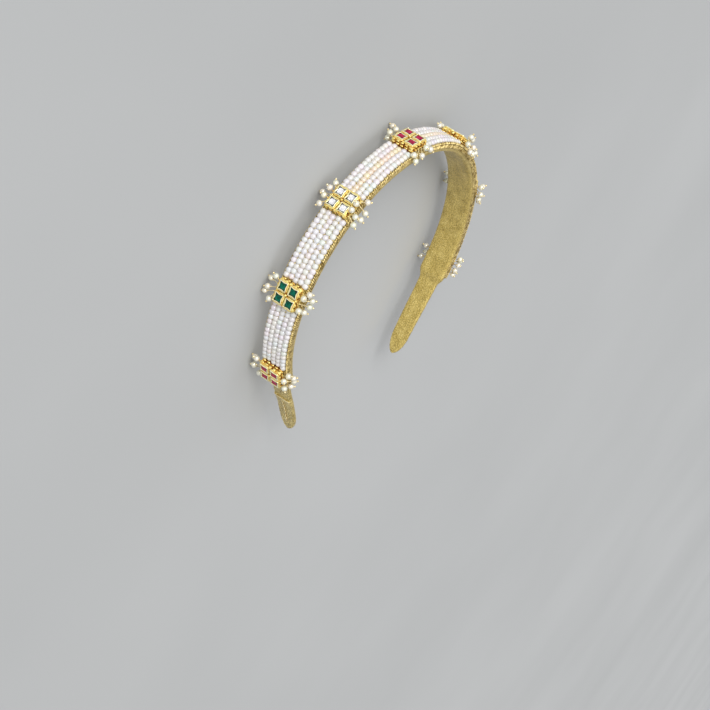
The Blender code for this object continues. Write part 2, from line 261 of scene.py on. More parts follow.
# Where each pearl hangs from its jewel's centre: along the band away from
# the crown, out across the band, and height
PEARLS_CENTRE_FRONT = (
    (-3.6, 9.3, -0.4),
    (-0.5, 8.7, 1.2),
    (2.9, 9.5, -1.1),
    (7.1, 9.5, -2.4),
    (7.8, 8.2, 0.4),
)
PEARLS_CENTRE_BACK = (
    (-4.5, 10.5, -2.2),
    (-2.4, 11.0, 1.0),
    (-0.4, 7.9, 1.7),
    (2.4, 9.3, -2.3),
    (3.2, 8.4, 1.1),
)
PEARLS_UPPER_FRONT = (
    (-5.5, 9.3, 0.0),
    (-1.5, 10.5, -2.2),
    (-1.4, 7.2, 3.8),
    (1.8, 7.1, 3.4),
    (1.9, 10.6, -2.2),
    (2.8, 9.1, 0.5),
    (5.8, 10.0, -1.0),
)
PEARLS_UPPER_BACK = (
    (-5.2, 7.6, 0.9),
    (-2.0, 8.1, 1.6),
    (0.3, 11.1, -1.6),
    (1.9, 8.4, 1.0),
    (5.9, 7.9, 0.6),
)
PEARLS_SIDE_FRONT = (
    (-5.0, 9.2, -0.4),
    (-3.2, 8.5, 2.1),
    (-2.4, 10.5, -2.3),
    (0.8, 10.1, -2.8),
    (2.9, 8.3, 1.8),
    (3.7, 9.4, -1.4),
)
PEARLS_SIDE_BACK = (
    (-4.6, 8.2, 1.0),
    (-2.0, 10.8, -0.6),
    (1.4, 10.1, 1.2),
    (4.3, 11.2, 0.0),
    (6.2, 7.6, 0.8),
)
# Pearls of a jewel by its steps from the crown: front edge, back edge
PEARLS_BY_STEP = (
    (PEARLS_CENTRE_FRONT, PEARLS_CENTRE_BACK),
    (PEARLS_UPPER_FRONT, PEARLS_UPPER_BACK),
    (PEARLS_SIDE_FRONT, PEARLS_SIDE_BACK),
    (PEARLS_SIDE_FRONT, PEARLS_SIDE_BACK),
)
# Kind of stone by the same steps
STONES_BY_STEP = ("ruby_glass", "clear_glass", "emerald_glass", "ruby_glass")

# Cloth: scales per millimetre, then shares in its tone and its relief, and a depth in metres
THREAD_WAVES = (("X", 0.62), ("Y", 0.55))
SPECK_SCALE = 1.7
PATCH_SCALE = 0.22
SPECK_TONE = 2.6
PATCH_TONE = 0.5
NET_TONE = 0.45
SPECK_RELIEF = 2.0
NET_RELIEF = 0.25
CLOTH_BUMP = 0.7
CLOTH_BUMP_DEPTH = 0.00018
CLOTH_STOPS = (
    (0.0, (0.18, 0.12, 0.02)),
    (0.3, (0.52, 0.38, 0.09)),
    (0.55, (0.78, 0.60, 0.18)),
    (0.9, (1.0, 0.89, 0.46)),
)

# Gold: its tones in hollows (painted shade), between and on open edges
GOLD_TONES = ((0.34, 0.10, 0.01), (0.88, 0.52, 0.08), (1.0, 0.88, 0.32))
# The rims' paler tones paint the highlight that runs along them
RIM_HIGHLIGHT_TONES = ((0.68, 0.46, 0.10), (0.99, 0.90, 0.42), (1.0, 0.97, 0.68))
PIN_TONES = ((0.42, 0.24, 0.06), (0.80, 0.60, 0.26), (0.96, 0.84, 0.52))
# The wall's darker tones paint the shade under the cups
SHADED_WALL_TONES = ((0.30, 0.08, 0.01), (0.60, 0.23, 0.03), (0.88, 0.46, 0.08))
BRAID_TONES = ((0.11, 0.06, 0.01), (0.43, 0.29, 0.07), (0.94, 0.76, 0.34))
# Where those tones lie, how much the painted shade of covered spots counts, and the depth of the bumps in
# metres
METAL_PLACES = (0.3, 0.56, 0.82)
PAINTED_SHADE_WEIGHT = 0.8
METAL_BUMP_DEPTH = 0.0001
PAINTED_SHADE_SAMPLES = 8

# Pearls and stones, with scales in bumps per metre
PEARL_CLOUD_SCALE = 700.0
PEARL_CLOUD_STOPS = ((0.3, (0.88, 0.88, 0.90)), (0.6, WHITE))
STONE_GRAIN_SCALE = 900.0
STONE_GRAIN_DETAIL = 1.0
STONE_PLACES = (0.35, 0.65)

# Camera, from the crown of the pearl bed, and its direction
CAMERA_FROM_CROWN = Vector((-467.9, 310.3, 249.5))
CAMERA_FORWARD = Vector((0.6841, -0.6331, -0.3622))
CAMERA_UP = Vector((0.4183, 0.7473, -0.5164))
FOCAL_PIXELS = 1400.0
IMAGE_PIXELS = 710.0
SENSOR_WIDTH = 36.0
# How far the camera sees, in metres
CAMERA_FAR_END = 200.0

# Light and floor, with distances in metres
KEY_DIRECTION = Vector((-0.42, 0.76, 0.48)).normalized()
KEY_DISTANCE = 2.0
KEY_STRENGTH = 1.65
KEY_SPREAD = math.radians(28.0)
WORLD_STRENGTH = 1.0
WORLD_STOPS = (
    (0.0, (0.40, 0.40, 0.41)),
    (0.35, (0.72, 0.72, 0.73)),
    (0.75, (1.08, 1.08, 1.08)),
)
FLOOR_REACH = 40.0
FLOOR_CLOUD_SCALE = 3.0
FLOOR_STOPS = ((0.3, (0.49, 0.50, 0.50)), (0.7, (0.53, 0.54, 0.54)))

# Middle of the band and top of the pearls at the crown, in the shared frame
band_low, band_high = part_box("band")
CROWN = Vector((
    0.0,
    band_high.y / MM - BAND_TOP,
    0.5 * (band_low.z + band_high.z) / MM,
))


def mix(share, first, second):
    """The number that lies this share of the way between two."""
    return first + share * (second - first)


def soft_step(value):
    """0 below 0, 1 above 1 and an even ease between."""
    value = min(1.0, max(0.0, value))
    return value * value * (3.0 - 2.0 * value)


def power_sign(value, power):
    """A number's power with its own sign."""
    return math.copysign(abs(value) ** power, value)


def turns(count):
    """Even turns round a circle."""
    return [2.0 * math.pi * step / count for step in range(count)]


def jitter(reach):
    """A random shift either way."""
    return chance.uniform(-reach, reach)


def arch_frame(distance):
    """Frame on the arch: x along it, y outward, z towards the front edge."""
    side = 1.0 if distance >= 0.0 else -1.0
    left = abs(distance)
    turn = 0.0
    point = CROWN.copy()
    for radius, length in ARCH_ARCS:
        step = min(left, length)
        swing = step / radius
        point.x += side * radius * (math.sin(turn + swing) - math.sin(turn))
        point.y += radius * (math.cos(turn + swing) - math.cos(turn))
        turn += swing
        left -= step
    return Matrix.Translation(point) @ Matrix.Rotation(-side * turn, 4, "Z")


class Shape:
    """Points and faces gathered for one mesh, in millimetres."""

    def __init__(self):
        self.points = []
        self.faces = []
        self.looks = []
        self.tints = []
        self.weaves = []

    def ring(self, points, pose=HERE, tint=WHITE, weaves=None):
        """Adds a loop of points and returns their numbers."""
        first = len(self.points)
        self.points.extend(pose @ Vector(point) for point in points)
        self.tints.extend([tint] * len(points))
        self.weaves.extend(weaves or [(0.0, 0.0, 0.0)] * len(points))
        return list(range(first, len(self.points)))

    def face(self, corners, look=0):
        """Adds a face over points given by number."""
        self.faces.append(tuple(corners))
        self.looks.append(look)

    def bridge(self, first, second, look=0):
        """Quads between two closed loops of the same count."""
        count = len(first)
        for index in range(count):
            after = (index + 1) % count
            self.face((first[index], first[after], second[after], second[index]), look)

    def loft(self, loops, pose=HERE, look=0, tint=WHITE):
        """A skin through loops of points, closed at both ends."""
        rings = [self.ring(loop, pose, tint) for loop in loops]
        for first, second in zip(rings, rings[1:]):
            self.bridge(first, second, look)
        self.face(rings[0][::-1], look)
        self.face(rings[-1], look)

    def tube(self, path, radius, sides, look=0, closed=False):
        """A round wire along a path of vectors."""
        rings = []
        count = len(path)
        side_way = None
        for index, point in enumerate(path):
            before = path[index - 1] if closed or index else point
            after = path[(index + 1) % count] if closed or index + 1 < count else point
            way = (after - before).normalized()
            if side_way is None:
                side_way = way.orthogonal().normalized()
            side_way = (side_way - way * side_way.dot(way)).normalized()
            other = way.cross(side_way)
            rings.append(self.ring([
                point + radius * (math.cos(turn) * side_way + math.sin(turn) * other)
                for turn in turns(sides)
            ]))
        for first, second in zip(rings, rings[1:]):
            self.bridge(first, second, look)
        if closed:
            last, start = rings[-1], rings[0]
            shift = min(
                range(sides),
                key=lambda place: (self.points[start[place]] - self.points[last[0]]).length,
            )
            self.bridge(last, start[shift:] + start[:shift], look)
        else:
            self.face(rings[0][::-1], look)
            self.face(rings[-1], look)

    def ball(self, pose, centre, radius, detail):
        """A round ball."""
        self.loft(globe(radius, detail), pose @ Matrix.Translation(centre))


def globe(radius, detail, hole=0.0, fullness=2.0, length_share=1.0):
    """Loops of a ball round z, with a hole; it is barrel-shaped where fullness is above 2.

    The detail is its count of sides and of loops. Its flat ends are at least
    BALL_END_SHARE of the radius.
    """
    sides, belts = detail
    power = 2.0 / fullness
    smallest = math.asin(min(1.0, max(hole / radius, BALL_END_SHARE)) ** (1.0 / power))
    loops = []
    for belt in range(belts):
        polar = smallest + (math.pi - 2.0 * smallest) * belt / (belts - 1)
        reach = radius * math.sin(polar) ** power
        height = -radius * length_share * power_sign(math.cos(polar), power)
        loops.append([(reach * math.cos(turn), reach * math.sin(turn), height) for turn in turns(sides)])
    return loops


def add_piece(name, shape, materials, nodes, smooth=True):
    """The mesh object of a shape, riding on the body in place of the nodes."""
    mesh = bpy.data.meshes.new(name)
    mesh.from_pydata([point * MM for point in shape.points], [], shape.faces)
    for look in materials:
        mesh.materials.append(look)
    mesh.polygons.foreach_set("material_index", shape.looks)
    mesh.polygons.foreach_set("use_smooth", [smooth] * len(mesh.polygons))
    tints = mesh.attributes.new("tint", "FLOAT_COLOR", "POINT")
    tints.data.foreach_set("color", [value for tint in shape.tints for value in (*tint, 1.0)])
    weaves = mesh.attributes.new("weave", "FLOAT_VECTOR", "POINT")
    weaves.data.foreach_set("vector", [value for weave in shape.weaves for value in weave])
    mesh.validate()
    piece = bpy.data.objects.new(name, mesh)
    bpy.context.scene.collection.objects.link(piece)
    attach(piece, "root")
    if nodes:
        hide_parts(*nodes)
    return piece


def new_material(name, **values):
    """A material, its node tree and its shader with these socket values."""
    made = bpy.data.materials.new(name)
    made.use_nodes = True
    tree = made.node_tree
    shader = tree.nodes["Principled BSDF"]
    for socket, value in values.items():
        shader.inputs[socket.replace("_", " ")].default_value = value
    return made, tree, shader


def add_node(tree, kind, inputs=(), **settings):
    """A node with its settings and with values or links on its inputs."""
    node = tree.nodes.new(kind)
    for key, value in settings.items():
        setattr(node, key, value)
    for socket, value in dict(inputs).items():
        if isinstance(value, bpy.types.NodeSocket):
            tree.links.new(value, node.inputs[socket])
        else:
            node.inputs[socket].default_value = value
    return node


def colour_ramp(tree, factor, stops):
    """A colour ramp over the stops, each a place and a colour."""
    ramp = add_node(tree, "ShaderNodeValToRGB", {"Fac": factor})
    ramp.color_ramp.elements[0].position = stops[0][0]
    ramp.color_ramp.elements[0].color = (*stops[0][1], 1.0)
    ramp.color_ramp.elements[1].position = stops[-1][0]
    ramp.color_ramp.elements[1].color = (*stops[-1][1], 1.0)
    for place, colour in stops[1:-1]:
        ramp.color_ramp.elements.new(place).color = (*colour, 1.0)
    return ramp.outputs["Color"]


def paint(tree, shader, colour):
    """Links a colour to a shader's base."""
    tree.links.new(colour, shader.inputs["Base Color"])


def add_bump(tree, shader, height, strength, distance):
    """Bump from a height onto a shader's normal."""
    inputs = {"Height": height, "Strength": strength, "Distance": distance}
    bump = add_node(tree, "ShaderNodeBump", inputs)
    tree.links.new(bump.outputs["Normal"], shader.inputs["Normal"])


def place_noise(tree, scale, detail=3.0):
    """Noise fixed to the object; the scale is in bumps per metre."""
    place = add_node(tree, "ShaderNodeTexCoord").outputs["Object"]
    inputs = {"Vector": place, "Scale": scale, "Detail": detail}
    return add_node(tree, "ShaderNodeTexNoise", inputs).outputs["Fac"]


def add_math(tree, operation, first, second):
    """The result of one sum on two numbers or sockets."""
    return add_node(tree, "ShaderNodeMath", {0: first, 1: second}, operation=operation).outputs["Value"]


def plus(tree, first, second):
    """Two numbers or sockets added."""
    return add_math(tree, "ADD", first, second)


def times(tree, first, second):
    """Two numbers or sockets multiplied."""
    return add_math(tree, "MULTIPLY", first, second)


def centred(tree, value):
    """Noise that runs from 0 to 1, moved to lie evenly about 0."""
    return add_math(tree, "SUBTRACT", value, 0.5)


def cloth_material():
    """Olive-gold tissue whose metal threads sparkle where it is crumpled."""
    made, tree, shader = new_material("olive_gold_tissue", Metallic=0.35, Roughness=0.38, Sheen_Weight=0.1)
    weave = add_node(tree, "ShaderNodeAttribute", attribute_name="weave").outputs["Vector"]
    sparkle = add_node(tree, "ShaderNodeSeparateXYZ", {"Vector": weave}).outputs["Z"]
    threads = []
    for way, scale in THREAD_WAVES:
        inputs = {"Vector": weave, "Scale": scale, "Distortion": 1.0, "Detail": 1.0}
        threads.append(add_node(tree, "ShaderNodeTexWave", inputs, bands_direction=way).outputs["Fac"])
    net = times(tree, *threads)
    inputs = {"Vector": weave, "Scale": SPECK_SCALE, "Detail": 2.0, "Roughness": 0.6}
    specks = centred(tree, add_node(tree, "ShaderNodeTexNoise", inputs).outputs["Fac"])
    specks = times(tree, specks, sparkle)
    inputs = {"Vector": weave, "Scale": PATCH_SCALE, "Detail": 2.0}
    patches = add_node(tree, "ShaderNodeTexNoise", inputs).outputs["Fac"]
    tone = plus(tree, times(tree, specks, SPECK_TONE), times(tree, patches, PATCH_TONE))
    tone = plus(tree, tone, times(tree, net, NET_TONE))
    paint(tree, shader, colour_ramp(tree, tone, CLOTH_STOPS))
    relief = plus(tree, times(tree, net, NET_RELIEF), times(tree, specks, SPECK_RELIEF))
    add_bump(tree, shader, relief, CLOTH_BUMP, CLOTH_BUMP_DEPTH)
    return made


def metal_material(name, tones, metallic, roughness, scale, bump, painted_shade_reach, mottle):
    """Gold with painted shade, from its darker tone in hollows to its tone on open edges, slightly uneven.

    The scale is in bumps per metre. The reach given for the painted shade is how far round a spot
    it looks for something that covers it, in metres.
    """
    made, tree, shader = new_material(name, Metallic=metallic, Roughness=roughness)
    grain = place_noise(tree, scale)
    # Ambient occlusion paints shade into the colour: spots covered nearby take the darker tones
    inputs = {"Distance": painted_shade_reach}
    share = add_node(tree, "ShaderNodeAmbientOcclusion", inputs, samples=PAINTED_SHADE_SAMPLES).outputs["AO"]
    uneven = times(tree, centred(tree, grain), mottle)
    tone = plus(tree, times(tree, share, PAINTED_SHADE_WEIGHT), uneven)
    paint(tree, shader, colour_ramp(tree, tone, list(zip(METAL_PLACES, tones))))
    add_bump(tree, shader, grain, bump, METAL_BUMP_DEPTH)
    return made


def pearl_material(name, coat, film, metallic):
    """Pearl whose body colour comes from each bead's own tint."""
    made, tree, shader = new_material(
        name,
        Metallic=metallic,
        Roughness=0.22,
        Coat_Weight=coat,
        Coat_Roughness=0.06,
        Thin_Film_Thickness=film,
        Thin_Film_IOR=1.4,
    )
    tint = add_node(tree, "ShaderNodeAttribute", attribute_name="tint").outputs["Color"]
    cloud = colour_ramp(tree, place_noise(tree, PEARL_CLOUD_SCALE), PEARL_CLOUD_STOPS)
    # A mix of colours has its factor on socket 0, the colours on 6 and 7 and its result on 2
    inputs = {0: 1.0, 6: tint, 7: cloud}
    mixed = add_node(tree, "ShaderNodeMix", inputs, data_type="RGBA", blend_type="MULTIPLY")
    paint(tree, shader, mixed.outputs[2])
    return made


def stone_material(name, deep, bright, metallic):
    """Foil-backed glass: two tones of one colour under a clear coat."""
    made, tree, shader = new_material(
        name,
        Metallic=metallic,
        Roughness=0.3,
        Specular_IOR_Level=0.2,
        Coat_Weight=0.15,
        Coat_Roughness=0.05,
    )
    grain = place_noise(tree, STONE_GRAIN_SCALE, STONE_GRAIN_DETAIL)
    paint(tree, shader, colour_ramp(tree, grain, list(zip(STONE_PLACES, (deep, bright)))))
    return made


CLOTH = cloth_material()
# Each gold below has painted shade in its hollows, as far as its shade reach
GOLD = metal_material(
    "plated_gold", GOLD_TONES, metallic=0.45, roughness=0.2, scale=750.0, bump=0.7, painted_shade_reach=0.001, mottle=1.3
)
# Paler gold that paints the rims' highlight, with painted shade in its hollows
RIM_HIGHLIGHT_GOLD = metal_material(
    "rim_gold_painted_highlight", RIM_HIGHLIGHT_TONES, metallic=0.5, roughness=0.15, scale=750.0, bump=0.5, painted_shade_reach=0.0004, mottle=0.7
)
PIN_GOLD = metal_material(
    "pin_gold", PIN_TONES, metallic=0.6, roughness=0.25, scale=750.0, bump=0.2, painted_shade_reach=0.0006, mottle=0.6
)
# Darker gold for the wall under the cups: painted shade
SHADED_WALL_GOLD = metal_material(
    "shaded_gold", SHADED_WALL_TONES, metallic=0.6, roughness=0.35, scale=900.0, bump=0.3, painted_shade_reach=0.0012, mottle=0.5
)
BRAID = metal_material(
    "gold_braid", BRAID_TONES, metallic=0.5, roughness=0.3, scale=800.0, bump=0.3, painted_shade_reach=0.0005, mottle=1.5
)
SEED = pearl_material("seed_pearl_gloss", coat=0.5, film=320.0, metallic=0.08)
PEARL = pearl_material("cream_pearl_gloss", coat=1.0, film=260.0, metallic=0.4)
RUBY = stone_material("ruby_stone", (0.26, 0.0, 0.03), (0.56, 0.01, 0.09), 0.1)
EMERALD = stone_material("emerald_stone", (0.0, 0.065, 0.035), (0.0, 0.16, 0.10), 0.1)
CLEAR = stone_material("clear_stone", (0.62, 0.62, 0.66), (0.97, 0.97, 0.98), 0.05)
# Dark copies of the stones for their sides and crown facets: painted shade
CLEAR_FACET_SHADE = stone_material("clear_stone_painted_shade", (0.05, 0.05, 0.05), (0.24, 0.24, 0.23), 0.2)
RUBY_FACET_SHADE = stone_material("ruby_stone_painted_shade", (0.09, 0.0, 0.01), (0.20, 0.0, 0.02), 0.1)
EMERALD_FACET_SHADE = stone_material("emerald_stone_painted_shade", (0.0, 0.012, 0.006), (0.0, 0.06, 0.035), 0.1)
# Table, and sides and crown facets darkened with painted shade, of each kind of stone
STONES = {
    "ruby_glass": [RUBY, RUBY_FACET_SHADE],
    "emerald_glass": [EMERALD, EMERALD_FACET_SHADE],
    "clear_glass": [CLEAR, CLEAR_FACET_SHADE],
}


def band_size(distance):
    """Half width, top height and inside height of the band this far from the crown."""
    beyond = abs(distance) - TAB_START
    tip_start = HALF_LENGTH - TAB_START - TIP_LENGTH
    if beyond <= TAB_NECK:
        ease = soft_step(beyond / TAB_NECK)
        half = mix(ease, BAND_HALF_WIDTH, TAB_HALF_WIDTH)
        return half, mix(ease, BAND_TOP, TAB_TOP), mix(ease, BAND_INSIDE, TAB_INSIDE)
    if beyond <= tip_start:
        share = (beyond - TAB_NECK) / (tip_start - TAB_NECK)
        return mix(share, TAB_HALF_WIDTH, TAB_END_HALF_WIDTH), TAB_TOP, TAB_INSIDE
    share = (beyond - tip_start) / TIP_LENGTH
    round_end = math.sqrt(max(0.0, 1.0 - share * share))
    return max(TIP_HALF_WIDTH, TAB_END_HALF_WIDTH * round_end), TAB_TOP, TAB_INSIDE


def even_outline(half, thick):
    """Points spaced evenly round a rounded oblong, with their way round it."""
    dense = []
    for step in range(BAND_OUTLINE_STEPS + 1):
        turn = 2.0 * math.pi * step / BAND_OUTLINE_STEPS
        across = half * power_sign(math.cos(turn), 2.0 / BAND_SQUARENESS)
        dense.append((across, thick * power_sign(math.sin(turn), 2.0 / BAND_SQUARENESS)))
    ways = [0.0]
    for first, second in zip(dense, dense[1:]):
        ways.append(ways[-1] + math.dist(first, second))
    outline = []
    place = 0
    for side in range(BAND_SIDES):
        way = ways[-1] * side / BAND_SIDES
        while ways[place + 1] < way:
            place += 1
        share = (way - ways[place]) / (ways[place + 1] - ways[place])
        first, second = dense[place], dense[place + 1]
        outline.append((mix(share, first[0], second[0]), mix(share, first[1], second[1]), way))
    return outline


def hem_rise(distance):
    """How far the turned-over cloth of a tab stands up: a sharp edge, then a slow fall."""
    beyond = abs(distance) - HEM_PLACE
    fall = soft_step((beyond - HEM_LENGTH) / HEM_RAMP)
    return HEM_RISE * soft_step(beyond / HEM_LENGTH) * (1.0 - fall)


def band_section(distance):
    """Padded section of the band, raised between the pearls and puckered."""
    half, top, inside = band_size(distance)
    thick = 0.5 * (top - inside)
    bare = soft_step((abs(distance) - TRIM_REACH) / BED_END_LENGTH + 0.5)
    crumpled = soft_step((abs(distance) - SMOOTH_REACH) / CRUMPLE_BLEND)
    points = []
    weaves = []
    for across, height, way in even_outline(half, thick):
        upper = soft_step(height / thick)
        sparkle = max(TAB_SPARKLE * bare, crumpled, upper)
        spot = Vector((PUCKER_SCALE[0] * distance, PUCKER_SCALE[1] * way, 0.0))
        pucker = PUCKER_DEPTH * mix(crumpled, PUCKER_LOW_SHARE, 1.0) * noise.noise(spot)
        pucker += FINE_PUCKER_DEPTH * crumpled * noise.noise(FINE_PUCKER_SCALE * spot)
        if height > 0.0:
            bed = soft_step((BED_HALF_WIDTH + BED_SLOPE - abs(across)) / BED_SLOPE)
            height += upper * hem_rise(distance) + (1.0 - bare) * BED_RISE * bed
        else:
            sparkle *= INSIDE_SPARKLE
        height += 0.5 * (top + inside) + pucker
        points.append((0.0, height, across * (1.0 + pucker / half)))
        weaves.append((distance, way, mix(sparkle, LEAST_SPARKLE, 1.0)))
    return points, weaves


def build_band():
    """The padded cloth band, with a fold and a row of stitches on each bare tab."""
    shape = Shape()
    rings = []
    for step in range(BAND_RINGS + 1):
        share = 2.0 * step / BAND_RINGS - 1.0
        place = HALF_LENGTH * ((1.0 + RING_CROWDING) * share - RING_CROWDING * share**5)
        place = min(HALF_LENGTH, max(-HALF_LENGTH, place))
        points, weaves = band_section(place)
        rings.append(shape.ring(points, arch_frame(place), weaves=weaves))
    for first, second in zip(rings, rings[1:]):
        shape.bridge(second, first)
    shape.face(rings[0])
    shape.face(rings[-1][::-1])
    for side in (-1.0, 1.0):
        place = STITCH_START
        while place < STITCH_END:
            add_stitch(shape, side * place, side * (place + STITCH_LENGTH))
            place += STITCH_PITCH
        add_hem(shape, side * (HEM_PLACE + HEM_LENGTH))
    piece = add_piece("band_cloth", shape, [CLOTH, PIN_GOLD], ["band"])


def add_stitch(shape, start, end):
    """One thread stitch that dips into the cloth at both ends."""
    path = []
    for step in range(STITCH_STEPS + 1):
        share = step / STITCH_STEPS
        place = mix(share, start, end)
        height = band_size(place)[1] + hem_rise(place)
        height += STITCH_RADIUS * (STITCH_ARCH * math.sin(math.pi * share) - 1.0)
        path.append(arch_frame(place) @ Vector((0.0, height, 0.0)))
    shape.tube(path, STITCH_RADIUS, THREAD_SIDES, look=1)


def add_hem(shape, place):
    """The gold thread along the fold where the tab's cloth is turned over."""
    half, top, inside = band_size(place)
    path = []
    for step in range(HEM_STEPS + 1):
        across = half * (2.0 * step / HEM_STEPS - 1.0)
        share = (1.0 - abs(across / half) ** BAND_SQUARENESS) ** (1.0 / BAND_SQUARENESS)
        height = 0.5 * (top + inside) + 0.5 * (top - inside) * share
        height += hem_rise(place) * soft_step(share)
        path.append(arch_frame(place) @ Vector((0.0, height, across)))
    shape.tube(path, HEM_THREAD, THREAD_SIDES, look=1)


def seed_tint(gold):
    """Body colour of one seed pearl."""
    if gold:
        peach = chance.random()
        return tuple(mix(peach, *tones) for tones in zip(YELLOW_SEED_TINT, PEACH_SEED_TINT))
    return tuple(tone + jitter(SEED_TINT_CHANGE) for tone in SEED_TINT)


def build_panel(index):
    """The seed pearls of one bed between two jewels, row by row."""
    start = (index - CROWN_JEWEL) * JEWEL_SPACING + SEED_START
    length = JEWEL_SPACING - 2.0 * SEED_START
    count = round(length / SEED_PITCH)
    along_axis = Matrix.Rotation(0.5 * math.pi, 4, "Y")
    bead = globe(SEED_RADIUS, SEED_DETAIL, SEED_HOLE, SEED_FULLNESS, SEED_LENGTH_SHARE)
    shape = Shape()
    for row in range(SEED_ROWS):
        across = (row - 0.5 * (SEED_ROWS - 1)) * SEED_ROW_PITCH + SEED_ROW_SHIFT
        gold = row == GOLD_ROW and index in GOLD_ROW_PANELS
        stagger = SEED_STAGGER * length / count * (1.0 if row % 2 else -1.0)
        for number in range(count):
            place = start + length * (number + 0.5) / count + stagger + jitter(SEED_SHIFT_ALONG)
            height = SEED_HEIGHT + jitter(SEED_SHIFT_UP)
            spot = Vector((0.0, height, across + jitter(SEED_SHIFT_ACROSS)))
            lean = Matrix.Rotation(jitter(SEED_LEAN), 4, "Y")
            roll = Matrix.Rotation(jitter(SEED_LEAN), 4, "X")
            size = Matrix.Scale(chance.uniform(*SEED_SIZES), 4)
            pose = arch_frame(place) @ Matrix.Translation(spot) @ lean @ roll @ along_axis @ size
            shape.loft(bead, pose, tint=seed_tint(gold))
    add_piece(f"seed_pearl_rows_{index}", shape, [SEED], [f"seed_pearls_{index}"])


def add_spiral(shape, centre, sweep, turn_length, wire, sides, start=0.0):
    """A wire that winds along the arch round a line at this place of the section."""
    steps = round(2.0 * TRIM_REACH / turn_length) * TURN_STEPS
    path = []
    for step in range(steps + 1):
        turn = 2.0 * math.pi * step / TURN_STEPS + start
        across = centre[0] + sweep[0] * math.cos(turn)
        height = centre[1] + sweep[1] * math.sin(turn)
        place = TRIM_REACH * (2.0 * step / steps - 1.0)
        path.append(arch_frame(place) @ Vector((0.0, height, across)))
    shape.tube(path, wire, sides)


def build_trim(edge, node, coil):
    """The gold coil on one top edge and the braid on that side of the band."""
    shape = Shape()
    add_spiral(shape, coil, (0.0, 0.0), COIL_CORE_TURN, COIL_CORE, COIL_CORE_SIDES)
    add_spiral(shape, coil, (COIL_RADIUS, COIL_RADIUS), COIL_TURN, COIL_WIRE, TRIM_WIRE_SIDES)
    line = (edge * BAND_HALF_WIDTH, BRAID_HEIGHT)
    sweep = (edge * BRAID_DEPTH, BRAID_REACH)
    for start in turns(BRAID_STRANDS):
        add_spiral(shape, line, sweep, BRAID_TURN, BRAID_WIRE, TRIM_WIRE_SIDES, start)
    add_piece(f"{node}_braid", shape, [BRAID], [node])


def ring_points(reach_at, height):
    """A loop round a cell whose reach depends on the turn."""
    points = []
    for turn in turns(OUTLINE_POINTS):
        reach = reach_at(turn)
        points.append((reach * math.cos(turn), height, -reach * math.sin(turn)))
    return points


def cup_loop(half, height):
    """A cup's outline at one height: a rounded square drawn in along its sides."""
    def reach_at(turn):
        total = abs(math.cos(turn)) ** CUP_SQUARENESS + abs(math.sin(turn)) ** CUP_SQUARENESS
        pinch = CUP_PINCH * max(0.0, math.cos(4.0 * turn)) ** 2
        return half * total ** (-1.0 / CUP_SQUARENESS) * (1.0 - pinch)
    return ring_points(reach_at, height)


def star_loop(tip, waist, height):
    """A star whose four points face the cell's corners, at one height."""
    inner = waist * math.sqrt(0.5)

    def reach_at(turn):
        swing = abs(turn % (0.5 * math.pi) - 0.25 * math.pi)
        return tip * inner / (inner * math.cos(swing) - (inner - tip) * math.sin(swing))
    return ring_points(reach_at, height)


def mouth_loop(offset, height):
    """The mouth's outline this far out from its edge."""
    return star_loop(STAR_TIP + offset, STAR_WAIST + offset, height)


def lobed_loop(half, height):
    """A square with two soft lobes to a side, one for each stone."""
    end = JEWEL_HALF - LOBE_CORNER
    side = []
    for step in range(LOBE_STEPS):
        along = end * (2.0 * step / (LOBE_STEPS - 1) - 1.0)
        notch = LOBE_NOTCH * 0.5 * (1.0 + math.cos(2.0 * math.pi * along / JEWEL_HALF))
        side.append((along * half / JEWEL_HALF, half - notch))
    points = []
    for quarter in range(4):
        points += side
        side = [(z, -x) for x, z in side]
    return [(x, height, z) for x, z in points]


def add_cup(shape, pose):
    """One bezel: a bulging cup and the raised ring round its mouth."""
    shape.loft([cup_loop(half, height) for half, height in CUP_PROFILE], pose)
    # The ring round the mouth takes the paler gold that paints its highlight
    rings = [shape.ring(mouth_loop(offset, height), pose) for offset, height in RIM_PROFILE]
    for first, second in zip(rings, rings[1:] + rings[:1]):
        shape.bridge(first, second, look=2)


def stone_places():
    """Centres of the four stones of a jewel, along and across."""
    step = 0.5 * JEWEL_HALF
    return [(along, across) for along in (-step, step) for across in (-step, step)]


def add_knobs(shape, pose):
    """Two rows of gold blocks under the cups on each side of the setting."""
    knob = globe(KNOB_RADIUS, KNOB_DETAIL, 0.0, KNOB_FULLNESS, KNOB_LENGTH_SHARE)
    for side in range(4):
        turned = pose @ Matrix.Rotation(0.5 * math.pi * side, 4, "Y")
        for number in range(KNOB_COUNT):
            place = (number - 0.5 * (KNOB_COUNT - 1)) * KNOB_PITCH
            for reach, height in KNOB_ROWS:
                shape.loft(knob, turned @ Matrix.Translation((reach, height, place)))


def add_balls(shape, pose):
    """The gold balls in the middle, on the seams and at the corners of a setting."""
    shape.ball(pose, (0.0, STUD_HEIGHT, 0.0), STUD_RADIUS, STUD_DETAIL)
    for along, across in ((1, 0), (-1, 0), (0, 1), (0, -1)):
        centre = (BALL_REACH * along, SEAM_END_HEIGHT, BALL_REACH * across)
        shape.ball(pose, centre, SEAM_END_RADIUS, BALL_DETAIL)
        centre = (0.5 * BALL_REACH * along, SEAM_HEIGHT, 0.5 * BALL_REACH * across)
        shape.ball(pose, centre, SEAM_RADIUS, SMALL_BALL_DETAIL)
    for along, across in ((1, 1), (-1, 1), (1, -1), (-1, -1)):
        centre = (BALL_REACH * along, CORNER_HEIGHT, BALL_REACH * across)
        shape.ball(pose, centre, CORNER_RADIUS, BALL_DETAIL)


def away_from_crown(step):
    """The sign of the way along the band that leads away from the crown."""
    return 1.0 if step > 0 else -1.0


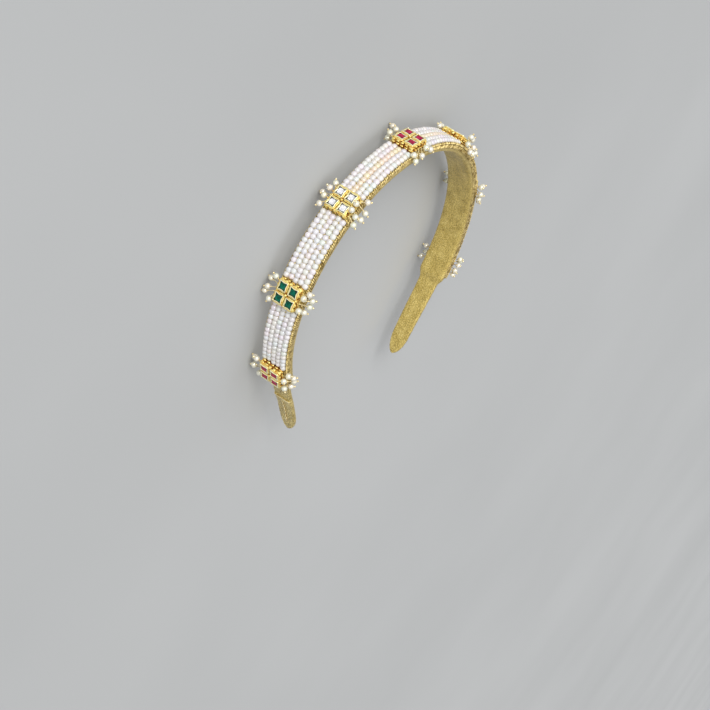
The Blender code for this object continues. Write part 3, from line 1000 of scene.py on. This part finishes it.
def drop_starts(count, step, edge):
    """Where the pins of one jewel edge leave the wall."""
    height, across = PIN_START
    cell = RAIL_LENGTH / count
    return [
        Vector((away_from_crown(step) * ((number + 0.5) * cell - 0.5 * RAIL_LENGTH), height, edge * across))
        for number in range(count)
    ]


def add_eyelets(shape, pose, step):
    """The wire rings on both sides of a setting that the pins hang from."""
    for edge, pearls in zip((1.0, -1.0), PEARLS_BY_STEP[abs(step)]):
        for start in drop_starts(len(pearls), step, edge):
            path = [
                pose @ (start + EYELET_RADIUS * Vector((math.cos(turn), 0.0, math.sin(turn))))
                for turn in turns(EYELET_STEPS)
            ]
            shape.tube(path, EYELET_WIRE, EYELET_SIDES, closed=True)


def build_setting(index, step):
    """The gold setting: foot, shaded wall, blocks, four cups, balls and eyelets."""
    pose = arch_frame(step * JEWEL_SPACING)
    shape = Shape()
    shape.loft([lobed_loop(half, height) for half, height in BASE_PROFILE], pose)
    # The wall takes the darker gold that paints its shade
    shape.loft([lobed_loop(half, height) for half, height in WALL_PROFILE], pose, look=1)
    add_knobs(shape, pose)
    for along, across in stone_places():
        add_cup(shape, pose @ Matrix.Translation((along, 0.0, across)))
    add_balls(shape, pose)
    add_eyelets(shape, pose, step)
    add_piece(f"gold_setting_{index}", shape, [GOLD, SHADED_WALL_GOLD, RIM_HIGHLIGHT_GOLD], [f"setting_{index}"])


def build_stones(index, step):
    """The four cut stones of a jewel, with flat facets."""
    look = STONES_BY_STEP[abs(step)]
    loops = [
        mouth_loop(STONE_FIT, STONE_FOOT),
        mouth_loop(STONE_FIT, STONE_GIRDLE),
        star_loop(TABLE_TIP, TABLE_WAIST, TABLE_HEIGHT),
    ]
    facets = [loop[:: OUTLINE_POINTS // STONE_CORNERS] for loop in loops]
    shape = Shape()
    for along, across in stone_places():
        pose = arch_frame(step * JEWEL_SPACING) @ Matrix.Translation((along, 0.0, across))
        rings = [shape.ring(loop, pose) for loop in facets]
        # The sides and crown facets take the stone's dark copy, painted shade; the table keeps the stone's
        # colour
        for first, second in zip(rings, rings[1:]):
            shape.bridge(first, second, look=1)
        shape.face(rings[0][::-1], look=1)
        shape.face(rings[-1])
    nodes = [f"stone_{index}_{number}" for number in range(1, 5)]
    add_piece(f"cut_stones_{index}", shape, STONES[look], nodes, smooth=False)


def build_drops(index, step, name, edge, pearls):
    """The pearls of one jewel edge on their gold pins."""
    pose = arch_frame(step * JEWEL_SPACING)
    beads = Shape()
    pins = Shape()
    for start, (along, across, height) in zip(drop_starts(len(pearls), step, edge), pearls):
        centre = Vector((away_from_crown(step) * along, height, edge * across))
        elbow = Vector((start.x, start.y, edge * PIN_ELBOW))
        way = (centre - elbow).normalized()
        reach = (centre - elbow).length
        turned = pose @ Matrix.Translation(elbow) @ way.to_track_quat("Z", "Y").to_matrix().to_4x4()
        bead_pose = turned @ Matrix.Translation((0.0, 0.0, reach))
        tint = tuple(tone + chance.uniform(*PEARL_TINT_CHANGE) for tone in PEARL_TINT)
        stretch = Matrix.Diagonal((chance.uniform(*PEARL_STRETCH), chance.uniform(*PEARL_STRETCH), 1.0, 1.0))
        beads.loft(globe(PEARL_RADIUS, PEARL_DETAIL, PEARL_HOLE), bead_pose @ stretch, tint=tint)
        tip_reach = reach + PEARL_RADIUS + TIP_REACH
        path = [pose @ start, pose @ start.lerp(elbow, PIN_MIDDLE_SHARE)]
        path += [turned @ Vector((0.0, 0.0, place)) for place in (*PIN_BEND_REACHES, tip_reach)]
        pins.tube(path, PIN_RADIUS, PIN_SIDES)
        pins.ball(turned, (0.0, 0.0, tip_reach), TIP_BALL_RADIUS, TIP_BALL_DETAIL)
        cap_reach = max(CAP_LEAST_REACH, reach - PEARL_RADIUS - 0.5 * CAP_BALL_RADIUS)
        pins.ball(turned, (0.0, 0.0, cap_reach), CAP_BALL_RADIUS, SMALL_BALL_DETAIL)
    add_piece(f"{name}_pearls_{index}", beads, [PEARL], [f"{name}_{index}"])
    add_piece(f"{name}_pins_{index}", pins, [PIN_GOLD], [])


def build_jewel(index):
    """One jewel with its stones and drops."""
    step = index - CROWN_JEWEL
    build_setting(index, step)
    build_stones(index, step)
    front, back = PEARLS_BY_STEP[abs(step)]
    build_drops(index, step, "front_drops", 1.0, front)
    build_drops(index, step, "back_drops", -1.0, back)


def build_floor():
    """A wide plain pale floor under the band."""
    reach = FLOOR_REACH
    mesh = bpy.data.meshes.new("floor")
    corners = [(-reach, -reach, 0.0), (reach, -reach, 0.0), (reach, reach, 0.0), (-reach, reach, 0.0)]
    mesh.from_pydata(corners, [], [(0, 1, 2, 3)])
    made, tree, shader = new_material("pale_floor", Roughness=0.85, Specular_IOR_Level=0.2)
    paint(tree, shader, colour_ramp(tree, place_noise(tree, FLOOR_CLOUD_SCALE), FLOOR_STOPS))
    mesh.materials.append(made)
    floor = bpy.data.objects.new("floor", mesh)
    bpy.context.scene.collection.objects.link(floor)


def build_light():
    """Plain soft studio light: a key from beyond the crown and a pale surround."""
    world = bpy.data.worlds.new("studio")
    bpy.context.scene.world = world
    world.use_nodes = True
    tree = world.node_tree
    place = add_node(tree, "ShaderNodeTexCoord").outputs["Generated"]
    inputs = {0: place, 1: KEY_DIRECTION}
    toward = add_node(tree, "ShaderNodeVectorMath", inputs, operation="DOT_PRODUCT").outputs["Value"]
    background = tree.nodes["Background"]
    tree.links.new(colour_ramp(tree, toward, WORLD_STOPS), background.inputs["Color"])
    background.inputs["Strength"].default_value = WORLD_STRENGTH
    lamp = bpy.data.lights.new("key", "SUN")
    lamp.energy = KEY_STRENGTH
    lamp.angle = KEY_SPREAD
    holder = bpy.data.objects.new("key", lamp)
    holder.location = CROWN * MM + KEY_DISTANCE * KEY_DIRECTION
    holder.rotation_mode = "QUATERNION"
    holder.rotation_quaternion = KEY_DIRECTION.to_track_quat("Z", "Y")
    bpy.context.scene.collection.objects.link(holder)
    bpy.context.scene.view_settings.view_transform = "Standard"


def build_camera():
    """The photo's view of the band."""
    forward = CAMERA_FORWARD.normalized()
    right = forward.cross(CAMERA_UP).normalized()
    up = right.cross(forward)
    turn = Matrix((right, up, -forward)).transposed().to_4x4()
    data = bpy.data.cameras.new("camera")
    data.sensor_width = SENSOR_WIDTH
    data.lens = FOCAL_PIXELS / IMAGE_PIXELS * SENSOR_WIDTH
    data.clip_end = CAMERA_FAR_END
    holder = bpy.data.objects.new("camera", data)
    holder.matrix_world = Matrix.Translation((CROWN + CAMERA_FROM_CROWN) * MM) @ turn
    bpy.context.scene.collection.objects.link(holder)
    bpy.context.scene.camera = holder


def main():
    build_camera()
    build_light()
    build_floor()
    build_band()
    for index in range(1, JEWEL_COUNT):
        build_panel(index)
    build_trim(1.0, "front_cord", COIL_FRONT)
    build_trim(-1.0, "back_cord", COIL_BACK)
    for index in range(1, JEWEL_COUNT + 1):
        build_jewel(index)


main()
